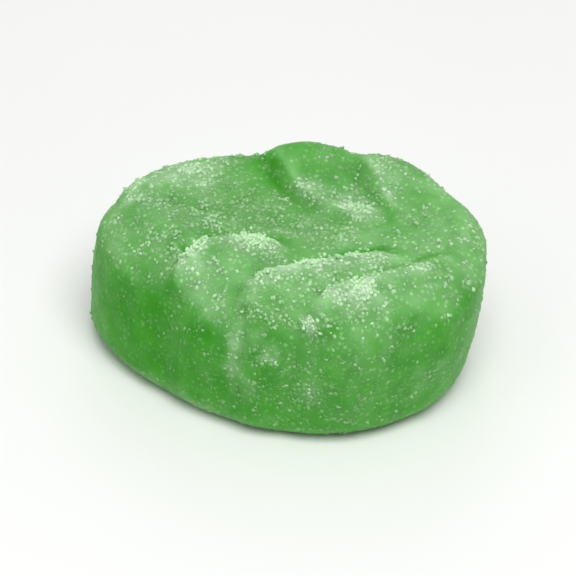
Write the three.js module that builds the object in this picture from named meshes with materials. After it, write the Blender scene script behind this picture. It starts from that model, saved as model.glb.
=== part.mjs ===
// A sugared jelly leaf: a thick, broad leaf moulded in soft jelly, lying on its flat base.
// Millimetres, +Z up, with the origin in the middle of the base. The leaf's tip points to -X and
// its stem end to +X. The near half is at -Y and the far half at +Y.
//
// The body starts as a smooth pillow: an egg-shaped outline carried round a profile that runs
// from the middle of the top, over the rim, down the wall and under to the middle of the base.
// The leaf is then raised on the pillow along its normals: round lobes along the wall, and across
// the top a crest along each lobe's tipward edge, steep in front and falling gently behind.

import * as THREE from 'three';
import { mergeVertices } from 'three/addons/utils/BufferGeometryUtils.js';

// Driving dimensions
const LENGTH = 32;
const WIDTH = 25;
const HEIGHT = 13.9;

// Outline of the pillow
const EGG = 0.14;             // how much wider the stem half is than the tip half
const TIP_POINT = 1.18;       // 1 is an ellipse, more is a more pointed end
const STEM_POINT = 1.06;

// Profile of the pillow
const CREST_ROOM = 1.5;       // how far the crests stand above the pillow's top
const BASE_FILLET = 2.0;      // radius of the bottom edge
const FAR_RIM = 2.5;          // how far in from the wall the far side's top starts to round over
const NEAR_RIM = 4.0;         // the same on the near side, which has slumped more
const NEAR_FROM = -0.6;       // where the far rim starts to widen, as the sine of the angle
const TIP_RIM = 0.6;          // how much further the rounding reaches at the tip
const TIP_FROM = 0.3;         // where that starts, as the cosine of the angle
const RIM_DROP = 0.92;        // how far the rounding falls, as a share of how far in it starts
const DISH = 0.6;             // how much lower the middle of the top is than its rim
const WALL_BULGE = 0.4;       // how far the middle of the wall stands out past its top and bottom
const BASE_SHIFT = 1.6;       // how far the base lies towards the tip from the top
const PILLOW_TOP = HEIGHT - CREST_ROOM;

// Midrib: a shallow groove along the leaf, with no crest across it
const MIDRIB_DEPTH = 0.25;
const MIDRIB_HALF_WIDTH = 0.8;
const MIDRIB_CLEAR = 1.6;     // how far from the midrib the crests reach their full height

// Lobes. Each starts at a notch in the rim and reaches to the next one.
// notch: where it starts, as a share of the length from the tip
// bulge: how far it swells out of the wall
// dome: how far it swells out of the top at the rim
// rise: height of its crest on the top
// inset: how far in from the outline the crest starts
// run, inner: how far the crest runs towards the stem, and how close it gets to the midrib
// bend: 1 is a straight crest, more turns it to run along the midrib
// lean: how far the notch slants towards the tip from the rim to the base
const NEAR = -1;
const FAR = 1;
const lobe = (notch, bulge, dome, rise, inset, run, inner, bend, lean) => (
  { notch, bulge, dome, rise, inset, run, inner, bend, lean }
);
const LOBES = {
  [NEAR]: [
    lobe(-0.08, 0.45, 0.0, 0.0, 2.0, 1.0, 0.0, 1.0, 0.0),
    lobe(0.295, 0.60, 0.1, 1.4, 2.6, 5.9, 3.0, 1.6, 0.6),
    lobe(0.50, 0.60, 0.1, 1.4, 3.0, 8.3, 1.9, 1.3, 0.6),
    lobe(0.67, 0.75, 0.2, 1.25, 2.0, 7.0, 1.2, 0.8, 2.2),
    lobe(0.90, 0.40, 0.0, 0.3, 2.8, 1.8, 2.0, 1.0, 0.4),
  ],
  [FAR]: [
    lobe(-0.08, 0.30, 0.0, 0.0, 2.0, 1.0, 0.0, 1.0, 0.0),
    lobe(0.03, 0.90, 0.5, 0.3, 1.4, 3.5, 1.5, 1.2, 0.3),
    lobe(0.385, 1.20, 0.95, 1.0, 3.4, 8.6, 3.0, 1.7, 0.8),
    lobe(0.615, 0.80, 0.8, 0.8, 2.6, 3.6, 5.0, 1.0, 1.0),
    lobe(0.88, 0.45, 0.1, 0.3, 1.4, 1.8, 2.0, 1.0, 0.4),
  ],
};
const LAST_NOTCH = { notch: 1.02, lean: 0 };   // where the last lobe of each side ends
const LOBE_SKEW = 0.85;       // 1 swells a lobe most in its middle, less swells it nearer its notch
const LOW_SWELL = 0.45;       // what is left of a lobe's bulge at the base
const FULL_SWELL = 0.8;       // height from which a bulge is whole, as a share of the pillow's top
const MEETING = 1.6;          // how far from the middle line the two sides' walls run together
const DOME_FROM = 0.5;        // where a dome starts to rise, as a share of the half width
const DOME_TO = 0.9;          // where it is whole

// Crests
const NOSE_LENGTH = 1.4;      // distance in which a crest rises at its outer end
const NOSE_BACK = 0.3;        // share of it that lies past the notch
const STEP_WIDTH = 0.95;      // width of the steep drop in front of a crest
const STEP_BACK = 0.4;        // share of the step's width that lies behind the crest's line
const LOBE_FALL = 3.6;        // distance behind a crest in which its height falls to a third
const CREASE_DEPTH = 0.45;    // depth of the crease in front of a crest, as a share of its rise
const CREST_FADE = 0.45;      // what is left of a crest's rise at its inner end
const CREST_END = [0.8, 1.4]; // where a crest starts to end and is gone, in runs from its notch
const STRAIGHTEST = 0.1;      // share of a run over which a crest's end counts as straight

// Shallow hollows in the top, each with its place, radius and depth
const HOLLOWS = [
  { x: 1.7, y: -2.6, radius: 1.9, depth: 0.5 },
  { x: -5.6, y: -3.2, radius: 1.8, depth: 0.3 },
  { x: 0.4, y: 7.0, radius: 2.2, depth: 0.25 },
  { x: 10.0, y: 4.0, radius: 2.6, depth: 0.2 },
];

// Where the top's relief gives way to the wall's, in rim reaches below the pillow's top
const WALL_FROM = 0.2;
const WALL_TO = 0.8;

// Mesh
const AROUND = 128;
const CROWDING = 0.16;        // how much closer together the columns stand along the two sides
const RINGS = { top: 19, rim: 12, wall: 4, fillet: 3 };

const TAU = Math.PI * 2;
const clamp01 = (v) => Math.min(1, Math.max(0, v));
const smooth = (low, high, v) => {
  const t = clamp01((v - low) / (high - low));
  return t * t * (3 - 2 * t);
};

// Point of the pillow's outline at an angle that runs from the tip (0) past the near side to the
// stem (PI) and back along the far side
function outline(angle) {
  const c = Math.cos(angle);
  const s = Math.sin(angle);
  const power = c > 0 ? TIP_POINT : STEM_POINT;
  const egg = (1 - EGG * c) / Math.sqrt(1 + EGG * EGG);
  return [-(LENGTH / 2) * Math.sign(c) * Math.abs(c) ** power, -(WIDTH / 2) * s * egg];
}

// How far in from the wall the top starts to round over, at one angle of the outline
function rimReach(angle) {
  const side = FAR_RIM + (NEAR_RIM - FAR_RIM) * smooth(NEAR_FROM, 1, Math.sin(angle));
  return side + TIP_RIM * smooth(TIP_FROM, 1, Math.cos(angle));
}

// Half width of the pillow's outline at a place along the leaf, found by halving
function halfWidthAt(x) {
  let low = 0;
  let high = Math.PI;
  while (high - low > 1e-9) {
    const middle = (low + high) / 2;
    if (outline(middle)[0] < x) low = middle;
    else high = middle;
  }
  return Math.abs(outline(low)[1]);
}

// The pillow's points at one angle, a ring at a time from near the middle of the top to the edge
// of the flat base
function pillowColumn(angle) {
  const [ox, oy] = outline(angle);
  const radius = Math.hypot(ox, oy);
  const reach = rimReach(angle);
  const rimStart = 1 - reach / radius;
  const filletStart = 1 - BASE_FILLET / radius;
  const column = [];
  const ring = (share, z) => {
    const height = z / PILLOW_TOP;
    const bulge = (1 - (2 * height - 1) ** 2) * WALL_BULGE / radius;
    const scale = share * (1 - WALL_BULGE / radius + bulge);
    column.push([ox * scale - BASE_SHIFT * (0.5 - height), oy * scale, z]);
  };
  for (let i = 1; i <= RINGS.top; i += 1) {
    const share = i / RINGS.top;
    ring(share * rimStart, PILLOW_TOP - DISH * (1 - share ** 2));
  }
  for (let i = 1; i <= RINGS.rim; i += 1) {
    const turn = (i / RINGS.rim) * (Math.PI / 2);
    const drop = RIM_DROP * reach * (1 - Math.cos(turn));
    ring(rimStart + (1 - rimStart) * Math.sin(turn), PILLOW_TOP - drop);
  }
  const wallTop = PILLOW_TOP - RIM_DROP * reach;
  for (let i = 1; i <= RINGS.wall; i += 1) {
    ring(1, wallTop + (BASE_FILLET - wallTop) * (i / RINGS.wall));
  }
  for (let i = 1; i <= RINGS.fillet; i += 1) {
    const turn = (i / RINGS.fillet) * (Math.PI / 2);
    ring(filletStart + (1 - filletStart) * Math.cos(turn), BASE_FILLET * (1 - Math.sin(turn)));
  }
  return column;
}

// Height of a crest at a signed distance behind it, as a share of its rise
function crestShape(distance) {
  const step = smooth(-STEP_WIDTH, STEP_WIDTH * STEP_BACK, distance);
  const fall = Math.exp(-Math.max(0, distance) / LOBE_FALL);
  const crease = CREASE_DEPTH * Math.exp(-(((distance + STEP_WIDTH) / STEP_WIDTH) ** 2));
  return step * fall - crease;
}

// How far one side's crests raise the top
function crests(side, x, across) {
  let height = 0;
  for (const { notch, rise, inset, run, inner, bend } of LOBES[side]) {
    const start = (notch - 0.5) * LENGTH;
    const drop = halfWidthAt(start) - inset - inner;
    const along = clamp01((x - start) / run);
    const crestY = inner + drop * (1 - along) ** bend;
    const slope = (drop / run) * bend * Math.max(1 - along, STRAIGHTEST) ** (bend - 1);
    const distance = (across - crestY) / Math.hypot(1, slope);
    const fade = 1 - (1 - CREST_FADE) * along;
    const nose = smooth(-NOSE_LENGTH, NOSE_LENGTH * NOSE_BACK, x - start);
    const end = 1 - smooth(run * CREST_END[0], run * CREST_END[1], x - start);
    height += rise * nose * fade * end * crestShape(distance);
  }
  return height;
}

// Sum over one side's lobes of a named swelling, at a depth below the top from 0 to 1
function swelling(name, side, x, depth) {
  const lobes = [...LOBES[side], LAST_NOTCH];
  const notches = lobes.map(({ notch, lean }) => (notch - 0.5) * LENGTH - lean * depth);
  const i = notches.findLastIndex((notch) => notch <= x);
  if (i < 0 || i === LOBES[side].length) return 0;
  const along = (x - notches[i]) / (notches[i + 1] - notches[i]);
  return lobes[i][name] * Math.sin(Math.PI * along ** LOBE_SKEW);
}

// How far one side's lobes swell the wall
function bulges(side, x, z) {
  const swell = LOW_SWELL + (1 - LOW_SWELL) * smooth(0, PILLOW_TOP * FULL_SWELL, z);
  return swell * swelling('bulge', side, x, 1 - z / HEIGHT);
}

// How far they swell the top near the rim
function domes(side, x, across) {
  const nearRim = smooth(DOME_FROM, DOME_TO, across / Math.max(halfWidthAt(x), 1));
  return nearRim * swelling('dome', side, x, 0);
}

// How deep the hollows are at a place on the top
function hollows(x, y) {
  const share = (hollow) => Math.hypot(x - hollow.x, y - hollow.y) / hollow.radius;
  return HOLLOWS.reduce((sum, hollow) => sum + hollow.depth * Math.exp(-(share(hollow) ** 2)), 0);
}

// How far the leaf stands out of the pillow at a point, along the pillow's normal
function relief(x, y, z) {
  const side = y < 0 ? NEAR : FAR;
  const across = Math.abs(y);
  const reach = rimReach(Math.atan2(-y, -x));
  const wall = smooth(PILLOW_TOP - WALL_FROM * reach, PILLOW_TOP - WALL_TO * reach, z);
  const raised = crests(side, x, across) + domes(side, x, across);
  const midrib = MIDRIB_DEPTH * Math.exp(-((y / MIDRIB_HALF_WIDTH) ** 2));
  const top = smooth(0, MIDRIB_CLEAR, across) * raised - midrib - hollows(x, y);
  const far = smooth(-MEETING, MEETING, y);
  const bulge = bulges(NEAR, x, z) * (1 - far) + bulges(FAR, x, z) * far;
  return (top * (1 - wall) + bulge * wall) * smooth(0, BASE_FILLET, z);
}

function leafGeometry() {
  const rings = Object.values(RINGS).reduce((sum, count) => sum + count, 0);
  const columns = [];
  for (let i = 0; i < AROUND; i += 1) {
    const turn = (i / AROUND) * TAU;
    columns.push(pillowColumn(turn + CROWDING * Math.sin(2 * turn)));
  }
  const topMiddle = [BASE_SHIFT / 2, 0, PILLOW_TOP - DISH];
  const point = (ring, i) => {
    if (ring < 0) return new THREE.Vector3(...topMiddle);
    return new THREE.Vector3(...columns[(i + AROUND) % AROUND][Math.min(ring, rings - 1)]);
  };
  const positions = [];
  const raise = (p, normal) => {
    const raised = p.clone().addScaledVector(normal, relief(p.x, p.y, p.z));
    positions.push(raised.x, raised.y, raised.z);
  };
  for (let ring = 0; ring < rings; ring += 1) {
    for (let i = 0; i < AROUND; i += 1) {
      const across = point(ring, i + 1).sub(point(ring, i - 1));
      const down = point(ring + 1, i).sub(point(ring - 1, i));
      raise(point(ring, i), down.cross(across).normalize());
    }
  }
  const top = positions.length / 3;
  raise(point(-1, 0), new THREE.Vector3(0, 0, 1));
  positions.push(-BASE_SHIFT / 2, 0, 0);
  const bottom = top + 1;
  const faces = [];
  const at = (ring, i) => ring * AROUND + (i % AROUND);
  const climb = (a, b) => Math.abs(positions[3 * a + 2] - positions[3 * b + 2]);
  // Splits a four-sided face along its more level diagonal, so that crests stay unbroken
  const split = (a, b, c, d) => {
    if (climb(a, c) <= climb(b, d)) faces.push(a, b, c, a, c, d);
    else faces.push(a, b, d, b, c, d);
  };
  for (let i = 0; i < AROUND; i += 1) {
    faces.push(top, at(0, i), at(0, i + 1));
    for (let ring = 0; ring < rings - 1; ring += 1) {
      split(at(ring, i), at(ring + 1, i), at(ring + 1, i + 1), at(ring, i + 1));
    }
    faces.push(bottom, at(rings - 1, i + 1), at(rings - 1, i));
  }
  const geometry = new THREE.BufferGeometry();
  geometry.setAttribute('position', new THREE.Float32BufferAttribute(positions, 3));
  geometry.setIndex(faces);
  return fitToBox(mergeVertices(geometry));
}

// Stretches a shape the last little way to the driving dimensions and stands it on Z = 0
function fitToBox(geometry) {
  geometry.computeBoundingBox();
  const size = geometry.boundingBox.getSize(new THREE.Vector3());
  const middle = geometry.boundingBox.getCenter(new THREE.Vector3());
  geometry.translate(-middle.x, -middle.y, -geometry.boundingBox.min.z);
  geometry.scale(LENGTH / size.x, WIDTH / size.y, HEIGHT / size.z);
  geometry.computeVertexNormals();
  return geometry;
}

const jelly = new THREE.MeshStandardMaterial({
  name: 'sugared_jelly',
  color: new THREE.Color(0.36, 0.66, 0.3),
  roughness: 0.55,
  metalness: 0,
});

const leaf = new THREE.Mesh(leafGeometry(), jelly);
leaf.name = 'jelly_leaf';

const part = new THREE.Group();
part.name = 'sugared_jelly_leaf';
part.add(leaf);

export default part;
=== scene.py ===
# A sugared jelly leaf: a thick leaf of soft green jelly under a coat of sanding sugar.
#
# The frame gives the leaf's length, width and height. This script moulds the leaf again as a fine
# skin inside that box, sands it with dust, fine sugar, crystals and little clumps, and lights it
# on a pale table. Shapes are worked out in millimetres and turned into metres when a mesh is made.
# The leaf's tip points to -X, its stem end to +X, its near half is at -Y and its far half at +Y.

import itertools
import math

import bpy
import numpy as np
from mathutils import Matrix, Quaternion, Vector


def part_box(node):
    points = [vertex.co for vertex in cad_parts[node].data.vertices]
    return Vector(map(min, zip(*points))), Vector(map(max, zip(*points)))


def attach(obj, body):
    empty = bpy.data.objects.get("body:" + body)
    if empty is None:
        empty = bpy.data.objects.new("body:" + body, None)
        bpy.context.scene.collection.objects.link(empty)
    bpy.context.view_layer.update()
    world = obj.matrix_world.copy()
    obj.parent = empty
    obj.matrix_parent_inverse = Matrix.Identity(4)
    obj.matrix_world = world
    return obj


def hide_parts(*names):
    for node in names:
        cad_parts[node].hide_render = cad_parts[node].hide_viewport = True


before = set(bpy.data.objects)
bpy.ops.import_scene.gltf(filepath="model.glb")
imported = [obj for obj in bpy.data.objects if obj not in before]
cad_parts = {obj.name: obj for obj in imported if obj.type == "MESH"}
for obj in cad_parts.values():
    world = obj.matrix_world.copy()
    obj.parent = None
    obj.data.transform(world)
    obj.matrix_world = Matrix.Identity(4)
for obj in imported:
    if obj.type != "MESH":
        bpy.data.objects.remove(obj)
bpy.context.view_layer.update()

MM = 0.001
LEAF_LOW, LEAF_HIGH = (np.array(corner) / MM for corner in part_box("jelly_leaf"))
LENGTH, WIDTH, HEIGHT = LEAF_HIGH - LEAF_LOW

# ---------------------------------------------------------------------------------------------
# The moulded leaf: the same named sizes as the solid, in millimetres
# ---------------------------------------------------------------------------------------------

EGG = 0.14                # how much wider the stem half is than the tip half
TIP_POINT = 1.18          # 1 is an ellipse, more is a more pointed end
STEM_POINT = 1.06         # the same at the stem end

CREST_ROOM = 1.5          # how far the crests stand above the pillow's top
BASE_FILLET = 2.0         # radius of the bottom edge
FAR_RIM = 2.5             # how far in from the wall the far side's top starts to round over
NEAR_RIM = 4.0            # the same on the near side, which has slumped more
NEAR_FROM = -0.6          # where the far rim starts to widen, as the sine of the angle
TIP_RIM = 0.6             # how much further the rounding reaches at the tip
TIP_FROM = 0.3            # where that starts, as the cosine of the angle
RIM_DROP = 0.92           # how far the rounding falls, as a share of how far in it starts
DISH = 0.6                # how much lower the middle of the top is than its rim
WALL_BULGE = 0.4          # how far the middle of the wall stands out past its top and bottom
BASE_SHIFT = 1.6          # how far the base lies towards the tip from the top
PILLOW_TOP = HEIGHT - CREST_ROOM

MIDRIB_DEPTH = 0.25
MIDRIB_HALF_WIDTH = 0.8
MIDRIB_CLEAR = 1.6        # how far from the midrib the crests reach their full height

# Hollows in the top: x, y, radius, depth
HOLLOWS = ((1.7, -2.6, 1.9, 0.5), (-5.6, -3.2, 1.8, 0.3), (0.4, 7.0, 2.2, 0.25), (10.0, 4.0, 2.6, 0.2))

# Lobes. Each starts at a notch in the rim and reaches to the next one.
# notch: where it starts, as a share of the length from the tip
# bulge: how far it swells out of the wall
# dome: how far it swells out of the top at the rim
# rise: height of its crest on the top
# inset: how far in from the outline the crest starts
# run, inner: how far the crest runs towards the stem, and how close it gets to the midrib
# bend: 1 is a straight crest, more turns it to run along the midrib
# lean: how far the notch slants towards the tip from the rim to the base
# sugar: how much sugar lies along the crest, from 0 to 1
NEAR, FAR = -1, 1
LOBE_FIELDS = ("notch", "bulge", "dome", "rise", "inset", "run", "inner", "bend", "lean", "sugar")
LOBES = {
    NEAR: [
        (-0.08, 0.45, 0.0, 0.0, 2.0, 1.0, 0.0, 1.0, 0.0, 0.0),
        (0.295, 0.60, 0.1, 1.4, 2.6, 5.9, 3.0, 1.6, 0.6, 0.9),
        (0.50, 0.60, 0.1, 1.4, 3.0, 8.3, 1.9, 1.3, 0.6, 0.8),
        (0.67, 0.75, 0.2, 1.25, 2.0, 7.0, 1.2, 0.8, 2.2, 0.6),
        (0.90, 0.40, 0.0, 0.3, 2.8, 1.8, 2.0, 1.0, 0.4, 0.1),
    ],
    FAR: [
        (-0.08, 0.30, 0.0, 0.0, 2.0, 1.0, 0.0, 1.0, 0.0, 0.0),
        (0.03, 0.90, 0.5, 0.3, 1.4, 3.5, 1.5, 1.2, 0.3, 0.2),
        (0.385, 1.20, 0.95, 1.0, 3.4, 8.6, 3.0, 1.7, 0.8, 0.28),
        (0.615, 0.80, 0.8, 0.8, 2.6, 3.6, 5.0, 1.0, 1.0, 0.35),
        (0.88, 0.45, 0.1, 0.3, 1.4, 1.8, 2.0, 1.0, 0.4, 0.1),
    ],
}
LOBES = {side: [dict(zip(LOBE_FIELDS, lobe)) for lobe in lobes] for side, lobes in LOBES.items()}
LAST_NOTCH = {"notch": 1.02, "lean": 0.0}   # where the last lobe of each side ends
LOBE_SKEW = 0.85          # 1 swells a lobe most in its middle, less swells it nearer its notch
LOW_SWELL = 0.45          # what is left of a lobe's bulge at the base
FULL_SWELL = 0.8          # height from which a bulge is whole, as a share of the pillow's top
MEETING = 1.6             # how far from the middle line the two sides' walls run together
DOME_FROM = 0.5           # where a dome starts to rise, as a share of the half width
DOME_TO = 0.9             # where it is whole
LEAST_HALF_WIDTH = 1.0    # taken for it at the very ends, where the outline closes

NOSE_LENGTH = 1.4         # distance in which a crest rises at its outer end
NOSE_BACK = 0.3           # share of it that lies past the notch
STEP_WIDTH = 0.95         # width of the steep drop in front of a crest
STEP_BACK = 0.4           # share of the step's width that lies behind the crest's line
LOBE_FALL = 3.6           # distance behind a crest in which its height falls to a third
CREASE_DEPTH = 0.45       # depth of the crease in front of a crest, as a share of its rise
CREST_FADE = 0.45         # what is left of a crest's rise at its inner end
CREST_END = (0.8, 1.4)    # where a crest starts to end and is gone, in runs from its notch
STRAIGHTEST = 0.1         # share of a run over which a crest's end counts as straight

# Where the top's relief gives way to the wall's, in rim reaches below the pillow's top
WALL_FROM, WALL_TO = 0.2, 0.8

# Mesh of the skin
OUTLINE_STEPS = 2000      # steps of half the outline when its width is looked up
GRID = 120                # cells across the top; the wall has four times as many round it
GRID_TURN = math.radians(60)   # puts the grid's corners where the leaf is smooth
RIM_RINGS = 24
WALL_RINGS = 50
FILLET_RINGS = 12

# Unevenness of the cast jelly. A cell is the distance over which something changes.
SWELLS = ((0.14, 3.4), (0.05, 1.2))   # height and cell of its swells
CRUST_HEIGHT = 0.07       # roughness of the thickest sugar film
CRUST_CELL = 0.55
WANDER = 0.35             # how far the lobes' lines wander
WANDER_CELL = 1.9


def smooth(low, high, value):
    """A soft rise from 0 at low to 1 at high."""
    t = np.clip((value - low) / (high - low), 0, 1)
    return t * t * (3 - 2 * t)


class Noise:
    """Smooth random values from -1 to 1, from one seeded block of random numbers.

    Where one noise is used for several things, they differ in cell or in an offset of the points.
    """

    SIDE = 64

    def __init__(self, seed):
        self.block = np.random.default_rng(seed).uniform(-1, 1, (self.SIDE,) * 3)

    def at(self, points, cell):
        place = points / cell
        low = np.floor(place).astype(int)
        part = place - low
        part = part * part * (3 - 2 * part)
        total = np.zeros(len(points))
        for corner in itertools.product((0, 1), repeat=3):
            weight = np.where(corner, part, 1 - part).prod(axis=1)
            total += weight * self.block[tuple(((low + corner) % self.SIDE).T)]
        return total


SWELL_NOISE = Noise(11)
FILM_NOISE = Noise(12)
CRUST_NOISE = Noise(13)
WANDER_NOISE = Noise(14)


def outline(angle):
    """Points of the outline; the angle runs from the tip (0) past the near side to the stem."""
    c, s = np.cos(angle), np.sin(angle)
    power = np.where(c > 0, TIP_POINT, STEM_POINT)
    egg = (1 - EGG * c) / math.hypot(1, EGG)
    return -(LENGTH / 2) * np.sign(c) * np.abs(c) ** power, -(WIDTH / 2) * s * egg


def rim_reach(angle):
    """How far in from the wall the top starts to round over, at an angle of the outline."""
    side = FAR_RIM + (NEAR_RIM - FAR_RIM) * smooth(NEAR_FROM, 1, np.sin(angle))
    return side + TIP_RIM * smooth(TIP_FROM, 1, np.cos(angle))


def half_width_at(x):
    """Half width of the pillow's outline at a place along the leaf."""
    along, across = outline(np.linspace(0, math.pi, OUTLINE_STEPS + 1))
    return np.interp(x, along, np.abs(across))


def pillow_points(angle, share, z):
    """Points at height z, at a share of the way from the pillow's middle to its outline."""
    ox, oy = outline(angle)
    radius = np.hypot(ox, oy)
    height = z / PILLOW_TOP
    bulge = (1 - (2 * height - 1) ** 2) * WALL_BULGE / radius
    scale = share * (1 - WALL_BULGE / radius + bulge)
    return np.stack([ox * scale - BASE_SHIFT * (0.5 - height), oy * scale, z], axis=-1)


def disc_grid():
    """A square grid pushed out to a round disc: angles, shares of the radius, edge loop and faces."""
    line = np.linspace(-1, 1, GRID + 1)
    u, v = np.meshgrid(line, line)
    x, y = u * np.sqrt(1 - v * v / 2), v * np.sqrt(1 - u * u / 2)
    number = np.arange((GRID + 1) ** 2).reshape(GRID + 1, GRID + 1)
    loop = np.concatenate([number[0, :-1], number[:-1, -1], number[-1, :0:-1], number[:0:-1, 0]])
    quads = np.stack([number[:-1, :-1], number[:-1, 1:], number[1:, 1:], number[1:, :-1]], axis=-1)
    angle = np.arctan2(y, x).ravel() + GRID_TURN
    return angle, np.hypot(x, y).ravel(), loop, quads.reshape(-1, 4)


def pillow():
    """The plain pillow under the leaf: points and four-sided faces, closed all round."""
    angle, share, loop, disc = disc_grid()
    radius = np.hypot(*outline(angle))
    reach = rim_reach(angle)
    top = pillow_points(angle, share * (1 - reach / radius), PILLOW_TOP - DISH * (1 - share ** 2))
    base = pillow_points(angle, share * (1 - BASE_FILLET / radius), np.zeros_like(share))

    angle, radius, reach = angle[loop], radius[loop], reach[loop]
    wall_top = PILLOW_TOP - RIM_DROP * reach
    rings = []
    for turn in np.linspace(0, math.pi / 2, RIM_RINGS + 1)[1:]:
        share = 1 - reach / radius * (1 - math.sin(turn))
        rings.append(pillow_points(angle, share, PILLOW_TOP - RIM_DROP * reach * (1 - math.cos(turn))))
    for down in np.linspace(0, 1, WALL_RINGS + 1)[1:]:
        rings.append(pillow_points(angle, 1.0, wall_top + (BASE_FILLET - wall_top) * down))
    for turn in np.linspace(0, math.pi / 2, FILLET_RINGS + 1)[1:-1]:
        share = 1 - BASE_FILLET / radius * (1 - math.cos(turn))
        height = BASE_FILLET * (1 - math.sin(turn))
        rings.append(pillow_points(angle, share, np.full_like(radius, height)))

    first_ring = len(top)
    first_base = first_ring + len(rings) * len(loop)
    loops = [loop]
    loops += [np.arange(len(loop)) + first_ring + ring * len(loop) for ring in range(len(rings))]
    loops += [loop + first_base]
    faces = [disc, disc[:, ::-1] + first_base]
    for upper, lower in zip(loops, loops[1:]):
        faces.append(np.stack([upper, lower, np.roll(lower, -1), np.roll(upper, -1)], axis=-1))
    return np.concatenate([top, *rings, base]), np.concatenate(faces)


def point_normals(points, faces):
    """The skin's outward direction at each point, from the four-sided faces round it."""
    corner = points[faces]
    normal = np.cross(corner[:, 2] - corner[:, 0], corner[:, 3] - corner[:, 1])
    total = np.zeros_like(points)
    for side in range(4):
        np.add.at(total, faces[:, side], normal)
    return total / np.linalg.norm(total, axis=1, keepdims=True)


def wander(points):
    """Where each point lies along and across the leaf once its lines wander a little."""
    shift_x = WANDER_NOISE.at(points, WANDER_CELL)
    shift_y = WANDER_NOISE.at(points + LENGTH, WANDER_CELL)
    return points[:, 0] + WANDER * shift_x, points[:, 1] + WANDER * shift_y


def crest_distance(lobe, x, across):
    """Distance behind a lobe's crest, how far along it, and how much of its line is there."""
    start = (lobe["notch"] - 0.5) * LENGTH
    drop = half_width_at(start) - lobe["inset"] - lobe["inner"]
    along = np.clip((x - start) / lobe["run"], 0, 1)
    crest_y = lobe["inner"] + drop * (1 - along) ** lobe["bend"]
    left = np.maximum(1 - along, STRAIGHTEST)
    slope = (drop / lobe["run"]) * lobe["bend"] * left ** (lobe["bend"] - 1)
    nose = smooth(-NOSE_LENGTH, NOSE_LENGTH * NOSE_BACK, x - start)
    end = 1 - smooth(lobe["run"] * CREST_END[0], lobe["run"] * CREST_END[1], x - start)
    return (across - crest_y) / np.hypot(1, slope), along, nose * end


def crests(side, x, across):
    """How far one side's crests raise the top."""
    height = np.zeros_like(x)
    for lobe in LOBES[side]:
        distance, along, line = crest_distance(lobe, x, across)
        left = line * (1 - (1 - CREST_FADE) * along)
        step = smooth(-STEP_WIDTH, STEP_WIDTH * STEP_BACK, distance)
        fall = np.exp(-np.maximum(0, distance) / LOBE_FALL)
        crease = CREASE_DEPTH * np.exp(-((distance + STEP_WIDTH) / STEP_WIDTH) ** 2)
        height += lobe["rise"] * left * (step * fall - crease)
    return height


def along_lobes(side, x, depth):
    """For each lobe of a side, how far its swelling has risen at each point, from 0 to 1."""
    for lobe, following in zip(LOBES[side], LOBES[side][1:] + [LAST_NOTCH]):
        start = (lobe["notch"] - 0.5) * LENGTH - lobe["lean"] * depth
        end = (following["notch"] - 0.5) * LENGTH - following["lean"] * depth
        along = np.clip((x - start) / (end - start), 0, 1) ** LOBE_SKEW
        yield lobe, np.sin(math.pi * along)


def bulges(side, x, z):
    """How far one side's lobes swell the wall."""
    return sum(lobe["bulge"] * swell for lobe, swell in along_lobes(side, x, 1 - z / HEIGHT))


def domes(side, x, across):
    """How far one side's lobes swell the top near the rim."""
    near_rim = smooth(DOME_FROM, DOME_TO, across / np.maximum(half_width_at(x), LEAST_HALF_WIDTH))
    return near_rim * sum(lobe["dome"] * swell for lobe, swell in along_lobes(side, x, 0))


def relief(points):
    """How far the leaf stands out of the pillow at each point."""
    z = points[:, 2]
    x, y = wander(points)
    reach = rim_reach(np.arctan2(-y, -x))
    wall = smooth(PILLOW_TOP - WALL_FROM * reach, PILLOW_TOP - WALL_TO * reach, z)
    across = np.abs(y)
    tops = {side: crests(side, x, across) + domes(side, x, across) for side in LOBES}
    top = smooth(0, MIDRIB_CLEAR, across) * np.where(y < 0, tops[NEAR], tops[FAR])
    top -= MIDRIB_DEPTH * np.exp(-(y / MIDRIB_HALF_WIDTH) ** 2)
    for hollow_x, hollow_y, radius, depth in HOLLOWS:
        top -= depth * np.exp(-((x - hollow_x) ** 2 + (y - hollow_y) ** 2) / radius ** 2)
    far = smooth(-MEETING, MEETING, y)
    bulge = bulges(NEAR, x, z) * (1 - far) + bulges(FAR, x, z) * far
    swell = LOW_SWELL + (1 - LOW_SWELL) * smooth(0, PILLOW_TOP * FULL_SWELL, z)
    return (top * (1 - wall) + bulge * swell * wall) * smooth(0, BASE_FILLET, z)


# ---------------------------------------------------------------------------------------------
# Where the sugar lies, and where its film is thinned as painted shade
# ---------------------------------------------------------------------------------------------

# Thickness of the sugar film, from 0 (bare) to 1 (white)
TOP_FILM = 0.20
WALL_FILM_TIP = 0.01      # on the near wall at the tip
WALL_FILM_STEM = 0.07     # on the near wall at the stem end
WALL_FILM_FAR = 0.14      # on the far wall
FAR_WALL = (-0.1, 0.3)    # where that comes in, in widths from the middle line
FACING_UP = (0.1, 0.9)    # upward share of the skin's direction where the wall ends and the top begins

CREST_FILM = 0.56         # added along the crests
CREST_FILM_WIDTH = 1.0
CREST_FILM_FRONT = 0.6    # how far down the step in front of a crest it reaches, in step widths
# Painted shade: the film taken away in the creases stands partly for less sugar and partly for the shade
# that falls in them.
CREASE_SHADE_AND_BARING = 0.30        # taken away in the creases before them
CREASE_FILM_WIDTH = 0.6
CREST_SHARE = 0.85        # share of the crests' film that usually lies there
CREST_DRIFT = 0.7         # how far that share varies
CREST_CELL = 1.7
CREST_SHARES = (0.35, 1.3)    # the least and the most of it

RIM_FILM = 0.04           # added round the rim
RIM_SLOPE = 0.55          # upward share of the skin's direction there
RIM_SPREAD = 0.25         # how far from that slope it spreads

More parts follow.
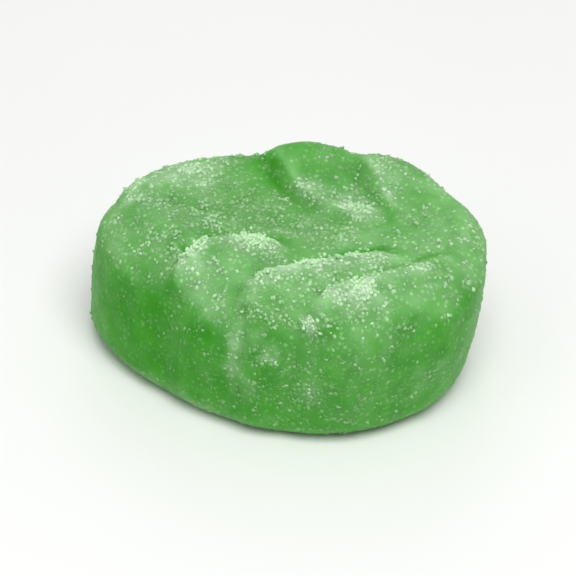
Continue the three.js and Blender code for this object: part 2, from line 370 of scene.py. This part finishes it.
PATCH_RAG = 0.8           # how ragged the edges of the patches are
PATCH_RAG_CELL = 0.9
DRIFT = 0.65              # how unevenly all of the film lies
DRIFT_CELLS = (2.6, 0.9)
STREAK_FILM = 0.5         # how much it varies in upright streaks on the walls
STREAK_CELL = 1.1
STREAK_SHAPE = np.array([1.0, 1.0, 0.14])
WALL_MOTTLE = 0.03        # how much it varies from place to place on them
WALL_MOTTLE_CELL = 1.3
# Heavier and barer places of sugar, and painted shade where the film is thinned in two hollows and on
# the far dome: x, y, z, how far each spreads level and upright, change of the film
SUGAR_PATCHES_AND_SHADE = (
    (-5.4, -7.4, 12.5, 0.9, 2.0, 0.34),
    (-3.2, -8.8, 11.5, 2.4, 1.6, 0.10),
    (2.4, -6.6, 13.0, 0.9, 2.0, 0.30),
    (2.6, -8.4, 12.8, 1.6, 2.0, 0.08),
    (6.6, -9.0, 12.4, 0.9, 1.6, 0.40),
    (7.9, -8.2, 12.6, 0.9, 1.6, 0.52),
    (5.0, -11.4, 11.4, 0.6, 0.6, 0.50),
    (4.8, 3.9, 12.8, 1.2, 2.0, 0.36),
    (1.9, 3.1, 12.6, 1.0, 2.0, 0.14),
    (9.8, 4.5, 12.6, 3.2, 2.0, 0.02),
    (7.2, 7.8, 13.1, 1.0, 2.0, 0.05),
    (0.3, 5.0, 12.8, 0.9, 2.0, 0.10),
    (-10.4, 3.8, 12.6, 1.7, 2.0, 0.30),
    (-13.0, 1.0, 11.8, 1.6, 2.0, 0.24),
    (-8.6, 5.4, 12.6, 1.7, 2.0, 0.20),
    (-7.4, -6.4, 12.6, 0.5, 1.0, 0.30),
    (-8.2, -4.9, 11.6, 0.7, 1.0, 0.16),
    (-6.9, -4.9, 11.7, 0.8, 1.2, 0.18),
    (-9.3, -4.4, 12.4, 2.5, 2.0, -0.05),
    (-0.8, -1.4, 12.4, 1.0, 2.0, 0.08),
    # Painted shade: thinner film darkens the hollow here
    (1.8, -2.7, 12.3, 1.4, 2.0, -0.05),
    # Painted shade: thinner film darkens the hollow here
    (-5.3, -3.4, 12.3, 1.6, 2.0, -0.10),
    # Painted shade: thinner film darkens the far dome, which faces away from the light
    (-2.5, 7.8, 13.2, 4.6, 3.0, -0.14),
    (-6.0, 6.4, 12.8, 1.8, 2.0, -0.03),
    (8.4, -7.8, 12.7, 0.9, 1.6, 0.36),
    (9.6, -5.4, 12.9, 0.9, 2.0, 0.08),
    (6.9, -3.1, 13.2, 0.9, 2.0, 0.12),
    (11.0, -3.4, 12.9, 0.8, 2.0, 0.08),
    (14.2, 1.5, 12.0, 2.4, 2.5, 0.03),
    (-15.5, 1.5, 6.0, 3.5, 6.0, 0.08),
    (10.2, -10.2, 10.4, 3.2, 2.6, 0.05),
    (15.2, -4.5, 7.5, 3.0, 5.0, -0.05),
    (13.2, -6.6, 5.2, 1.2, 1.2, 0.20),
    (-0.2, -12.3, 9.0, 1.2, 4.0, 0.32),
    (2.3, -12.5, 8.6, 0.6, 0.8, 0.55),
    (5.0, -12.4, 7.5, 2.4, 3.6, 0.09),
    (10.0, -10.6, 4.0, 2.6, 2.6, 0.03),
    (-6.0, -10.5, 1.0, 6.0, 1.3, 0.12),
)


def crest_bands(points):
    """How much each point belongs to the sugared back of a crest, and to the crease before it, whose
    thinned film is partly painted shade.
    """
    x, y = wander(points)
    across = np.abs(y)
    back, crease = np.zeros_like(x), np.zeros_like(x)
    for side, lobes in LOBES.items():
        for lobe in lobes:
            distance, _, line = crest_distance(lobe, x, across)
            share = np.where(y * side > 0, lobe["sugar"] * line, 0)
            edge = smooth(-STEP_WIDTH * CREST_FILM_FRONT, 0, distance)
            behind = np.exp(-(np.maximum(0, distance) / CREST_FILM_WIDTH) ** 2)
            before = np.exp(-((distance + STEP_WIDTH) / CREASE_FILM_WIDTH) ** 2)
            back = np.maximum(back, share * edge * behind)
            crease = np.maximum(crease, share * before)
    return back, crease


def sugar_film_and_shade(points, normals):
    """How thickly the fine sugar lies at each point, from 0 to 1, thinned partly as painted shade in the
    creases and as painted shade in two hollows and on the far dome.
    """
    x, y, z = points.T
    facing_up = smooth(*FACING_UP, normals[:, 2])
    wall_film = WALL_FILM_TIP + (WALL_FILM_STEM - WALL_FILM_TIP) * smooth(-LENGTH / 2, LENGTH / 2, x)
    wall_film += (WALL_FILM_FAR - wall_film) * smooth(WIDTH * FAR_WALL[0], WIDTH * FAR_WALL[1], y)
    film = wall_film + (TOP_FILM - wall_film) * facing_up
    patchy = CREST_SHARE + CREST_DRIFT * FILM_NOISE.at(points - LENGTH, CREST_CELL)
    back, crease = crest_bands(points)
    # Before each crest the film is thinned, partly for less sugar and partly as painted shade in the
    # crease.
    film += facing_up * (CREST_FILM * back * np.clip(patchy, *CREST_SHARES) - CREASE_SHADE_AND_BARING * crease)
    film += RIM_FILM * np.exp(-((normals[:, 2] - RIM_SLOPE) / RIM_SPREAD) ** 2)
    x = x + PATCH_RAG * FILM_NOISE.at(points, PATCH_RAG_CELL)
    y = y + PATCH_RAG * FILM_NOISE.at(points - WIDTH, PATCH_RAG_CELL)
    for place_x, place_y, place_z, level, upright, change in SUGAR_PATCHES_AND_SHADE:
        far = ((x - place_x) ** 2 + (y - place_y) ** 2) / level ** 2 + ((z - place_z) / upright) ** 2
        film += change * np.exp(-far)
    drift = (FILM_NOISE.at(points, DRIFT_CELLS[0]) + FILM_NOISE.at(points + LENGTH, DRIFT_CELLS[1])) / 2
    streak = (1 - facing_up) * FILM_NOISE.at(points * STREAK_SHAPE, STREAK_CELL)
    film += WALL_MOTTLE * (1 - facing_up) * FILM_NOISE.at(points - HEIGHT, WALL_MOTTLE_CELL)
    return np.clip(film * (1 + DRIFT * drift + STREAK_FILM * streak), 0, 1)


# ---------------------------------------------------------------------------------------------
# Meshes
# ---------------------------------------------------------------------------------------------

def mesh_piece(name, points, faces, material, **values):
    """A smooth piece from points in millimetres and faces; each value is a number per point."""
    mesh = bpy.data.meshes.new(name)
    mesh.from_pydata((points * MM).tolist(), [], faces.tolist())
    for value_name, numbers in values.items():
        attribute = mesh.attributes.new(value_name, "FLOAT", "POINT")
        attribute.data.foreach_set("value", np.asarray(numbers, dtype=np.float32))
    mesh.polygons.foreach_set("use_smooth", np.full(len(mesh.polygons), True))
    mesh.materials.append(material)
    mesh.validate()
    piece = bpy.data.objects.new(name, mesh)
    bpy.context.scene.collection.objects.link(piece)
    return piece


def leaf_skin():
    """Points, faces and normals of the leaf, fitted to the frame's box."""
    points, faces = pillow()
    normals = point_normals(points, faces)
    points = points + normals * relief(points)[:, None]
    normals = point_normals(points, faces)
    above_base = smooth(0, BASE_FILLET, points[:, 2])
    swell = sum(height * SWELL_NOISE.at(points + cell, cell) for height, cell in SWELLS)
    crust = CRUST_HEIGHT * sugar_film_and_shade(points, normals) * CRUST_NOISE.at(points, CRUST_CELL)
    points = points + normals * ((swell + crust) * above_base)[:, None]
    low, high = points.min(axis=0), points.max(axis=0)
    points = (points - low) / (high - low) * (LEAF_HIGH - LEAF_LOW) + LEAF_LOW
    return points, faces, point_normals(points, faces)


# Shapes of a grain one millimetre across: corners and three-sided faces
GOLDEN = (1 + math.sqrt(5)) / 2
NUGGET = (
    np.array([
        (-1, GOLDEN, 0), (1, GOLDEN, 0), (-1, -GOLDEN, 0), (1, -GOLDEN, 0),
        (0, -1, GOLDEN), (0, 1, GOLDEN), (0, -1, -GOLDEN), (0, 1, -GOLDEN),
        (GOLDEN, 0, -1), (GOLDEN, 0, 1), (-GOLDEN, 0, -1), (-GOLDEN, 0, 1),
    ]) / (2 * math.hypot(1, GOLDEN)),
    np.array([
        (0, 11, 5), (0, 5, 1), (0, 1, 7), (0, 7, 10), (0, 10, 11), (1, 5, 9), (5, 11, 4), (11, 10, 2),
        (10, 7, 6), (7, 1, 8), (3, 9, 4), (3, 4, 2), (3, 2, 6), (3, 6, 8), (3, 8, 9), (4, 9, 5),
        (2, 4, 11), (6, 2, 10), (8, 6, 7), (9, 8, 1),
    ]),
)
DIAMOND = (
    np.array([(0.5, 0, 0), (0, 0.5, 0), (-0.5, 0, 0), (0, -0.5, 0), (0, 0, 0.5), (0, 0, -0.5)]),
    np.array([(0, 1, 4), (1, 2, 4), (2, 3, 4), (3, 0, 4), (1, 0, 5), (2, 1, 5), (3, 2, 5), (0, 3, 5)]),
)
GRAIN_LEAST = (0.9, 0.7, 0.55)    # a grain's three sizes, in shares of its size
GRAIN_MOST = (1.25, 1.0, 0.85)
GRAIN_UNEVEN = 0.16       # how far its corners lie in or out, as a share


def turned(rng, count):
    """Random turns, as one 3 x 3 matrix for each grain."""
    q = rng.normal(size=(count, 4))
    q /= np.linalg.norm(q, axis=1, keepdims=True)
    w, x, y, z = q.T
    return np.stack([
        1 - 2 * (y * y + z * z), 2 * (x * y - w * z), 2 * (x * z + w * y),
        2 * (x * y + w * z), 1 - 2 * (x * x + z * z), 2 * (y * z - w * x),
        2 * (x * z - w * y), 2 * (y * z + w * x), 1 - 2 * (x * x + y * y),
    ], axis=1).reshape(count, 3, 3)


def grain_piece(name, rng, shape, places, sizes, material, **values):
    """One piece of many crystals at the given places; each value is one number per crystal."""
    corners, sides = shape
    count = len(places)
    size = sizes[:, None] * rng.uniform(GRAIN_LEAST, GRAIN_MOST, (count, 3))
    uneven = rng.uniform(-GRAIN_UNEVEN, GRAIN_UNEVEN, (count, len(corners), 3))
    form = corners * (1 + uneven) * size[:, None, :]
    points = np.einsum("nij,npj->npi", turned(rng, count), form) + places[:, None, :]
    faces = sides + len(corners) * np.arange(count)[:, None, None]
    values = {value_name: np.repeat(numbers, len(corners)) for value_name, numbers in values.items()}
    return mesh_piece(name, points.reshape(-1, 3), faces.reshape(-1, sides.shape[1]), material, **values)


def scatter(rng, skin, film, weight, count):
    """Random places on the skin, more where the weight is high: places, normals and film."""
    points, faces, normals = skin
    corner = points[faces]
    area = np.linalg.norm(np.cross(corner[:, 2] - corner[:, 0], corner[:, 3] - corner[:, 1]), axis=1)
    chance = area * weight[faces].mean(axis=1)
    chosen = faces[rng.choice(len(faces), count, p=chance / chance.sum())]
    u, v = rng.random((2, count, 1))
    blend = np.stack([(1 - u) * (1 - v), u * (1 - v), u * v, (1 - u) * v], axis=1)
    places, up = (points[chosen] * blend).sum(axis=1), (normals[chosen] * blend).sum(axis=1)
    return places, up, film[chosen].mean(axis=1)


# Places with more or fewer crystals: x, y, z, how far each spreads level and upright, change
CRYSTAL_PLACES = (
    (-2.0, 0.6, 12.3, 4.5, 2.0, 1.8),
    (-10.6, -2.1, 11.8, 2.0, 1.6, 0.6),
    (5.0, 4.5, 12.9, 1.8, 2.0, 1.8),
    (-8.5, -1.0, 12.4, 3.0, 2.0, 0.5),
    (1.8, -2.9, 12.2, 1.6, 2.0, -1.8),
    (10.5, 4.5, 12.6, 3.4, 2.0, -0.9),
    (-1.8, 8.6, 13.4, 3.2, 3.0, -1.3),
    (2.6, -9.4, 12.0, 1.8, 1.2, -0.9),
    (11.5, -7.5, 11.5, 2.8, 1.6, -0.8),
    (12.8, -5.0, 11.8, 2.0, 1.6, -0.5),
    (13.8, 0.5, 11.8, 2.6, 2.4, -0.8),
    (8.0, -10.4, 11.4, 2.0, 1.2, -0.8),
    (-4.3, 5.2, 12.9, 1.6, 2.0, -0.8),
    (-1.0, -8.6, 12.0, 2.0, 1.4, -0.5),
    (5.0, -11.4, 11.4, 0.8, 0.8, 2.5),
    (-5.3, -3.1, 12.2, 1.3, 2.0, -0.6),
    (2.9, -0.8, 12.3, 1.1, 2.0, 1.8),
    (-8.2, -4.9, 11.5, 0.9, 1.2, 1.5),
    (-14.0, -5.0, 6.0, 4.5, 5.0, -0.8),
    (6.0, -12.0, 4.5, 7.0, 4.0, 0.8),
)
CRYSTAL_DRIFT = ((0.7, 2.3), (0.8, 0.6))  # how unevenly they lie, and the cell of that
LEAST_COVER = 0.03


def crystal_cover(points):
    """How willingly crystals lie at each point; 1 is the middling amount."""
    cover = 1 + sum(share * FILM_NOISE.at(points + WIDTH, cell) for share, cell in CRYSTAL_DRIFT)
    for x, y, z, level, upright, change in CRYSTAL_PLACES:
        level_way = ((points[:, :2] - (x, y)) ** 2).sum(axis=1) / level ** 2
        upright_way = ((points[:, 2] - z) / upright) ** 2
        cover += change * np.exp(-(level_way + upright_way))
    return np.maximum(cover, LEAST_COVER)


# Crystals that lie singly
# seed: start of the random draws; shape: the crystal; count: how many
# sizes: smallest and largest; sunk: share sunk into the jelly
# bare: how many lie where there is no film; gather: how strongly they gather where it is thick
# whitest, rarity: whiteness of the whitest, and how rare white ones are
SUGAR = {
    "sugar_dust": dict(
        seed=21, shape=DIAMOND, count=9000, sizes=(0.14, 0.24), sunk=0.78, bare=0.02, gather=1.0,
        whitest=0.06, rarity=1.3,
    ),
    "fine_sugar": dict(
        seed=22, shape=NUGGET, count=7500, sizes=(0.20, 0.36), sunk=0.72, bare=0.05, gather=0.9,
        whitest=0.28, rarity=1.0,
    ),
    "sugar_crystals": dict(
        seed=23, shape=NUGGET, count=2300, sizes=(0.30, 0.50), sunk=0.68, bare=0.03, gather=1.2,
        whitest=0.74, rarity=1.1,
    ),
}
SIZE_RARITY = 2           # how rare the largest are
SINK_VARIES = (0.7, 1.3)  # least and most depth of a crystal's middle, as a share of the usual depth
CLEAR_SHARE = 0.25        # share of its whiteness that a crystal keeps where there is no film
WHOLE_FROM = 0.4          # film from which it keeps all of it

# Crystals stuck together in clumps
CLUMP_SEED = 31
CLUMPS = 300
CLUMP_GRAINS = (3, 9)     # from the first number up to one less than the second
CLUMP_SIZES = (0.24, 0.42)
CLUMP_WHITENESS = (0.1, 0.5)
CLUMP_SPREAD = 0.32       # how far its crystals lie from its middle
CLUMP_FLATNESS = 0.7      # 0 is a round clump, 1 lies flat on the skin
CLUMP_SINK = 0.06         # how deep its middle lies in the jelly
CLUMP_FILM = 0.35         # film above which clumps lie
CLUMP_STRAYS = 0.003      # how willingly a few of them lie elsewhere on the top
CLUMP_TOP = (9, 12)       # heights between which the top comes in for them


def sugar_piece(name, skin, film, material):
    """Crystals of one kind, each lying by itself."""
    kind = SUGAR[name]
    rng = np.random.default_rng(kind["seed"])
    count = kind["count"]
    smallest, largest = kind["sizes"]
    clear_of_table = skin[0][:, 2] > largest
    weight = (kind["bare"] + film ** kind["gather"]) * crystal_cover(skin[0]) * clear_of_table
    places, up, local_film = scatter(rng, skin, film, weight, count)
    size = smallest + (largest - smallest) * rng.random(count) ** SIZE_RARITY
    height = size * (0.5 - kind["sunk"]) * rng.uniform(*SINK_VARIES, count)
    places = places + up * height[:, None]
    whiteness = kind["whitest"] * rng.random(count) ** kind["rarity"]
    whiteness *= CLEAR_SHARE + (1 - CLEAR_SHARE) * smooth(0, WHOLE_FROM, local_film)
    return grain_piece(
        name, rng, kind["shape"], places, size, material, film=local_film, whiteness=whiteness,
    )


def sugar_clumps(skin, film, material):
    """Crystals stuck together in little heaps where the sugar lies thickest."""
    rng = np.random.default_rng(CLUMP_SEED)
    on_top = smooth(*CLUMP_TOP, skin[0][:, 2])
    weight = (np.clip(film - CLUMP_FILM, 0, 1) ** 2 + CLUMP_STRAYS * on_top) * crystal_cover(skin[0])
    centres, normals, local_film = scatter(rng, skin, film, weight, CLUMPS)
    owner = np.repeat(np.arange(CLUMPS), rng.integers(*CLUMP_GRAINS, CLUMPS))
    up = normals[owner]
    spread = rng.normal(size=(len(owner), 3)) * CLUMP_SPREAD
    spread -= up * (spread * up).sum(axis=1, keepdims=True) * CLUMP_FLATNESS
    places = centres[owner] + spread - up * CLUMP_SINK
    size = rng.uniform(*CLUMP_SIZES, len(owner))
    whiteness = rng.uniform(*CLUMP_WHITENESS, len(owner))
    return grain_piece(
        "sugar_clumps", rng, NUGGET, places, size, material, film=local_film[owner], whiteness=whiteness,
    )


# ---------------------------------------------------------------------------------------------
# Materials
# ---------------------------------------------------------------------------------------------

JELLY_GREEN = (0.026, 0.262, 0.001, 1)
JELLY_LIGHT = (0.040, 0.305, 0.004, 1)
SUGARED_GREEN = (0.580, 0.880, 0.520, 1)
WHITE_GRAIN = (0.750, 0.960, 0.690, 1)
FILM_WHITENESS = 1.1      # how white the jelly looks under a film, in film thicknesses
BARE_SPECKLE = 0.12       # how strongly the finest grains show where there is no film
FINE_GLAZE = 0.06         # how much whiter than the film under it the clearest sugar looks
COARSE_GLAZE = 0.12
MIX_FIRST, MIX_SECOND, MIX_RESULT = 6, 7, 2   # where the mix node has its colours


def add(tree, kind, values=None, **settings):
    """Adds a node; a value is either a number or colour, or another node's output."""
    node = tree.nodes.new(kind)
    for name, setting in settings.items():
        setattr(node, name, setting)
    for name, value in (values or {}).items():
        if isinstance(value, bpy.types.NodeSocket):
            tree.links.new(value, node.inputs[name])
        else:
            node.inputs[name].default_value = value
    return node


def math_node(tree, operation, first, second, clamp=False):
    """Adds a calculation with two numbers or outputs; returns its result."""
    values = {0: first, 1: second}
    return add(tree, "ShaderNodeMath", values, operation=operation, use_clamp=clamp).outputs[0]


def mix_colour(tree, share, first, second):
    """Adds a mix of two colours; returns its result."""
    values = {"Factor": share, MIX_FIRST: first, MIX_SECOND: second}
    return add(tree, "ShaderNodeMix", values, data_type="RGBA").outputs[MIX_RESULT]


def group(name, inputs, outputs):
    """An empty node group with named sockets, and its input and output nodes."""
    tree = bpy.data.node_groups.new(name, "ShaderNodeTree")
    for socket_name, kind, value in inputs:
        tree.interface.new_socket(socket_name, in_out="INPUT", socket_type=kind).default_value = value
    for socket_name, kind in outputs:
        tree.interface.new_socket(socket_name, in_out="OUTPUT", socket_type=kind)
    return tree, tree.nodes.new("NodeGroupInput").outputs, tree.nodes.new("NodeGroupOutput").inputs


def millimetres(tree):
    """Places on the object in millimetres."""
    place = add(tree, "ShaderNodeTexCoord").outputs["Object"]
    return add(tree, "ShaderNodeVectorMath", {0: place, "Scale": 1 / MM}, operation="SCALE").outputs[0]


def tint_drift_group():
    """Slow change between two tints of one colour."""
    tree, given, out = group(
        "tint drift",
        [
            ("Colour", "NodeSocketColor", (1, 1, 1, 1)),
            ("Other Colour", "NodeSocketColor", (1, 1, 1, 1)),
            ("Patch Size", "NodeSocketFloat", 3.0),
        ],
        [("Colour", "NodeSocketColor")],
    )
    scale = math_node(tree, "DIVIDE", 1.0, given["Patch Size"])
    noise = add(tree, "ShaderNodeTexNoise", {"Vector": millimetres(tree), "Scale": scale, "Detail": 2.0})
    share = add(
        tree, "ShaderNodeMapRange",
        {"Value": noise.outputs[0], "From Min": 0.35, "From Max": 0.65},
        interpolation_type="SMOOTHSTEP",
    )
    colour = mix_colour(tree, share.outputs[0], given["Colour"], given["Other Colour"])
    tree.links.new(colour, out["Colour"])
    return tree


def sugar_grain_group():
    """Dots and relief of grains that lie side by side, some of them clear and some cloudy."""
    tree, given, out = group(
        "sugar grain",
        [("Grain Size", "NodeSocketFloat", 0.3)],
        [("Speckle", "NodeSocketFloat"), ("Height", "NodeSocketFloat")],
    )
    place = millimetres(tree)
    scale = math_node(tree, "DIVIDE", 1.0, given["Grain Size"])
    cells = add(tree, "ShaderNodeTexVoronoi", {"Vector": place, "Scale": scale}, feature="F1")
    cloudy = add(tree, "ShaderNodeSeparateColor", {"Color": cells.outputs["Color"]}).outputs[0]
    dot = add(
        tree, "ShaderNodeMapRange",
        {"Value": cells.outputs["Distance"], "From Min": 0.55, "From Max": 0.15},
        interpolation_type="SMOOTHSTEP",
    )
    cloudiness = math_node(tree, "POWER", cloudy, 2.0)
    tree.links.new(math_node(tree, "MULTIPLY", dot.outputs[0], cloudiness, clamp=True), out["Speckle"])
    tree.links.new(math_node(tree, "SUBTRACT", 1.0, cells.outputs["Distance"]), out["Height"])
    return tree


def sugared_jelly_group(tint_drift):
    """Green of the jelly under a sugar film of a given thickness, from 0 to 1."""
    tree, given, out = group(
        "sugared jelly",
        [("Film", "NodeSocketFloat", 0.2)],
        [("Colour", "NodeSocketColor")],
    )
    green = use_group(tree, tint_drift, Colour=JELLY_GREEN, Other_Colour=JELLY_LIGHT, Patch_Size=2.2)
    film = math_node(tree, "ADD", given["Film"], 0.0, clamp=True)
    tree.links.new(mix_colour(tree, film, green["Colour"], SUGARED_GREEN), out["Colour"])
    return tree


def use_group(tree, kind, **values):
    """Places a group; a value's name is its socket's, with _ for a space."""
    values = {name.replace("_", " "): value for name, value in values.items()}
    return add(tree, "ShaderNodeGroup", values, node_tree=kind).outputs


def new_material(name):
    """A material, its nodes and its shader."""
    material = bpy.data.materials.new(name)
    material.use_nodes = True
    shader = material.node_tree.nodes["Principled BSDF"]
    return material, material.node_tree, shader


def attribute(tree, name):
    """The number that each point of the piece keeps under a name."""
    return add(tree, "ShaderNodeAttribute", attribute_name=name).outputs["Fac"]


def jelly_material(sugared_jelly, sugar_grain):
    """Translucent green jelly; the attribute film says how white the fine sugar makes it, and where it
    is thinned it darkens the green as painted shade.
    """
    material, tree, shader = new_material("green jelly")
    film = attribute(tree, "film")
    grain = use_group(tree, sugar_grain, Grain_Size=0.42)
    dots = math_node(tree, "MULTIPLY", grain["Speckle"], math_node(tree, "ADD", film, BARE_SPECKLE))
    share = math_node(tree, "ADD", math_node(tree, "MULTIPLY", film, FILM_WHITENESS), dots)
    colour = use_group(tree, sugared_jelly, Film=share)["Colour"]
    tree.links.new(colour, shader.inputs["Base Color"])
    rough = add(tree, "ShaderNodeMapRange", {"Value": film, "To Min": 0.42, "To Max": 0.75})
    tree.links.new(rough.outputs[0], shader.inputs["Roughness"])
    bump = add(tree, "ShaderNodeBump", {"Height": grain["Height"], "Strength": 0.4, "Distance": 0.00005})
    tree.links.new(bump.outputs[0], shader.inputs["Normal"])
    shader.inputs["Subsurface Weight"].default_value = 0.85
    shader.inputs["Subsurface Radius"].default_value = (0.35, 1.0, 0.22)
    shader.inputs["Subsurface Scale"].default_value = 1.6 * MM
    shader.inputs["IOR"].default_value = 1.42
    shader.inputs["Specular IOR Level"].default_value = 0.2
    return material


def sugar_material(name, glaze, sugared_jelly, sugar_grain):
    """Sugar crystals: clear ones take the green of the jelly, cloudy ones are white."""
    material, tree, shader = new_material(name)
    film = math_node(tree, "ADD", attribute(tree, "film"), glaze)
    green = use_group(tree, sugared_jelly, Film=film)["Colour"]
    colour = mix_colour(tree, attribute(tree, "whiteness"), green, WHITE_GRAIN)
    tree.links.new(colour, shader.inputs["Base Color"])
    grain = use_group(tree, sugar_grain, Grain_Size=0.06)
    bump = add(tree, "ShaderNodeBump", {"Height": grain["Height"], "Strength": 0.3, "Distance": 0.00002})
    tree.links.new(bump.outputs[0], shader.inputs["Normal"])
    shader.inputs["Roughness"].default_value = 0.42
    shader.inputs["IOR"].default_value = 1.5
    shader.inputs["Specular IOR Level"].default_value = 0.25
    shader.inputs["Subsurface Weight"].default_value = 0.8
    shader.inputs["Subsurface Radius"].default_value = (0.9, 1.0, 0.9)
    shader.inputs["Subsurface Scale"].default_value = 0.08 * MM
    return material


# ---------------------------------------------------------------------------------------------
# Studio
# ---------------------------------------------------------------------------------------------

AIM = Vector((0.0002, 0.0, 0.0062))
CAMERA_AZIMUTH = math.radians(15)
CAMERA_ELEVATION = math.radians(35.5)
CAMERA_ROLL = math.radians(2)
CAMERA_DISTANCE = 0.30
VIEW_WIDTH = 0.046        # width of the view at the leaf
SENSOR = 36.0

# Softboxes: azimuth and elevation in degrees, distance and width in metres, power in watts
SOFTBOXES = {
    "key": (30, 62, 0.5, 0.35, 2.0),
    "fill": (-35, 40, 0.6, 0.4, 0.3),
    "back": (200, 28, 0.6, 0.4, 0.3),
}
ROOM_LIGHT = 0.43

TABLE_HALF = 1500.0
TABLE_WHITE = (0.88, 0.885, 0.87, 1)
TABLE_OTHER_WHITE = (0.865, 0.87, 0.855, 1)
TABLE_PATCH = 60.0        # size of the patches in which its white changes


def direction(azimuth, elevation):
    """Unit vector from the leaf towards a camera or a light."""
    return Vector((
        math.sin(azimuth) * math.cos(elevation),
        -math.cos(azimuth) * math.cos(elevation),
        math.sin(elevation),
    ))


def looking_at_leaf(piece, azimuth, elevation, distance, roll=0.0):
    """Places a camera or a light so that it looks at the leaf."""
    away = direction(azimuth, elevation)
    piece.location = AIM + away * distance
    turn = (-away).to_track_quat("-Z", "Y") @ Quaternion((0, 0, 1), roll)
    piece.rotation_euler = turn.to_euler()
    bpy.context.scene.collection.objects.link(piece)
    return piece


def add_camera():
    """A camera above the leaf's near side, with a long lens."""
    data = bpy.data.cameras.new("camera")
    data.sensor_width = SENSOR
    data.lens = SENSOR * CAMERA_DISTANCE / VIEW_WIDTH
    data.clip_start = 0.01
    camera = bpy.data.objects.new("camera", data)
    looking_at_leaf(camera, CAMERA_AZIMUTH, CAMERA_ELEVATION, CAMERA_DISTANCE, CAMERA_ROLL)
    bpy.context.scene.camera = camera


def add_softbox(name, azimuth, elevation, distance, size, power):
    """A round softbox that shines on the leaf."""
    data = bpy.data.lights.new(name, "AREA")
    data.shape = "DISK"
    data.size = size
    data.energy = power
    light = bpy.data.objects.new(name, data)
    looking_at_leaf(light, math.radians(azimuth), math.radians(elevation), distance)


def add_table(tint_drift):
    """A pale table top that reaches past every view."""
    material, tree, shader = new_material("pale table")
    white = use_group(
        tree, tint_drift, Colour=TABLE_WHITE, Other_Colour=TABLE_OTHER_WHITE, Patch_Size=TABLE_PATCH,
    )
    tree.links.new(white["Colour"], shader.inputs["Base Color"])
    shader.inputs["Roughness"].default_value = 0.6
    corners = TABLE_HALF * np.array([(-1, -1, 0), (1, -1, 0), (1, 1, 0), (-1, 1, 0)])
    table = mesh_piece("table", corners, np.array([(0, 1, 2, 3)]), material)


def add_light():
    """Even white light from all round, the softboxes, and colours shown as they are."""
    world = bpy.data.worlds.new("studio")
    bpy.context.scene.world = world
    world.use_nodes = True
    background = world.node_tree.nodes["Background"]
    background.inputs["Color"].default_value = (1, 1, 1, 1)
    background.inputs["Strength"].default_value = ROOM_LIGHT
    for name, placing in SOFTBOXES.items():
        add_softbox(name, *placing)
    bpy.context.scene.view_settings.view_transform = "Standard"


# ---------------------------------------------------------------------------------------------
# Everything together
# ---------------------------------------------------------------------------------------------

def build_leaf(tint_drift):
    """The leaf's skin and the four kinds of sugar on it."""
    sugar_grain = sugar_grain_group()
    sugared_jelly = sugared_jelly_group(tint_drift)
    jelly = jelly_material(sugared_jelly, sugar_grain)
    fine = sugar_material("fine sugar", FINE_GLAZE, sugared_jelly, sugar_grain)
    coarse = sugar_material("sugar crystals", COARSE_GLAZE, sugared_jelly, sugar_grain)

    skin = leaf_skin()
    points, faces, normals = skin
    film = sugar_film_and_shade(points, normals)
    leaf = mesh_piece("leaf", points, faces, jelly, film=film)
    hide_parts("jelly_leaf")
    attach(leaf, "root")

    finish = {"sugar_dust": fine, "fine_sugar": fine, "sugar_crystals": coarse}
    sugar = [sugar_piece(name, skin, film, finish[name]) for name in SUGAR]
    sugar.append(sugar_clumps(skin, film, coarse))
    for piece in sugar:
        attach(piece, "root")


tint_drift = tint_drift_group()
build_leaf(tint_drift)
add_table(tint_drift)
add_light()
add_camera()
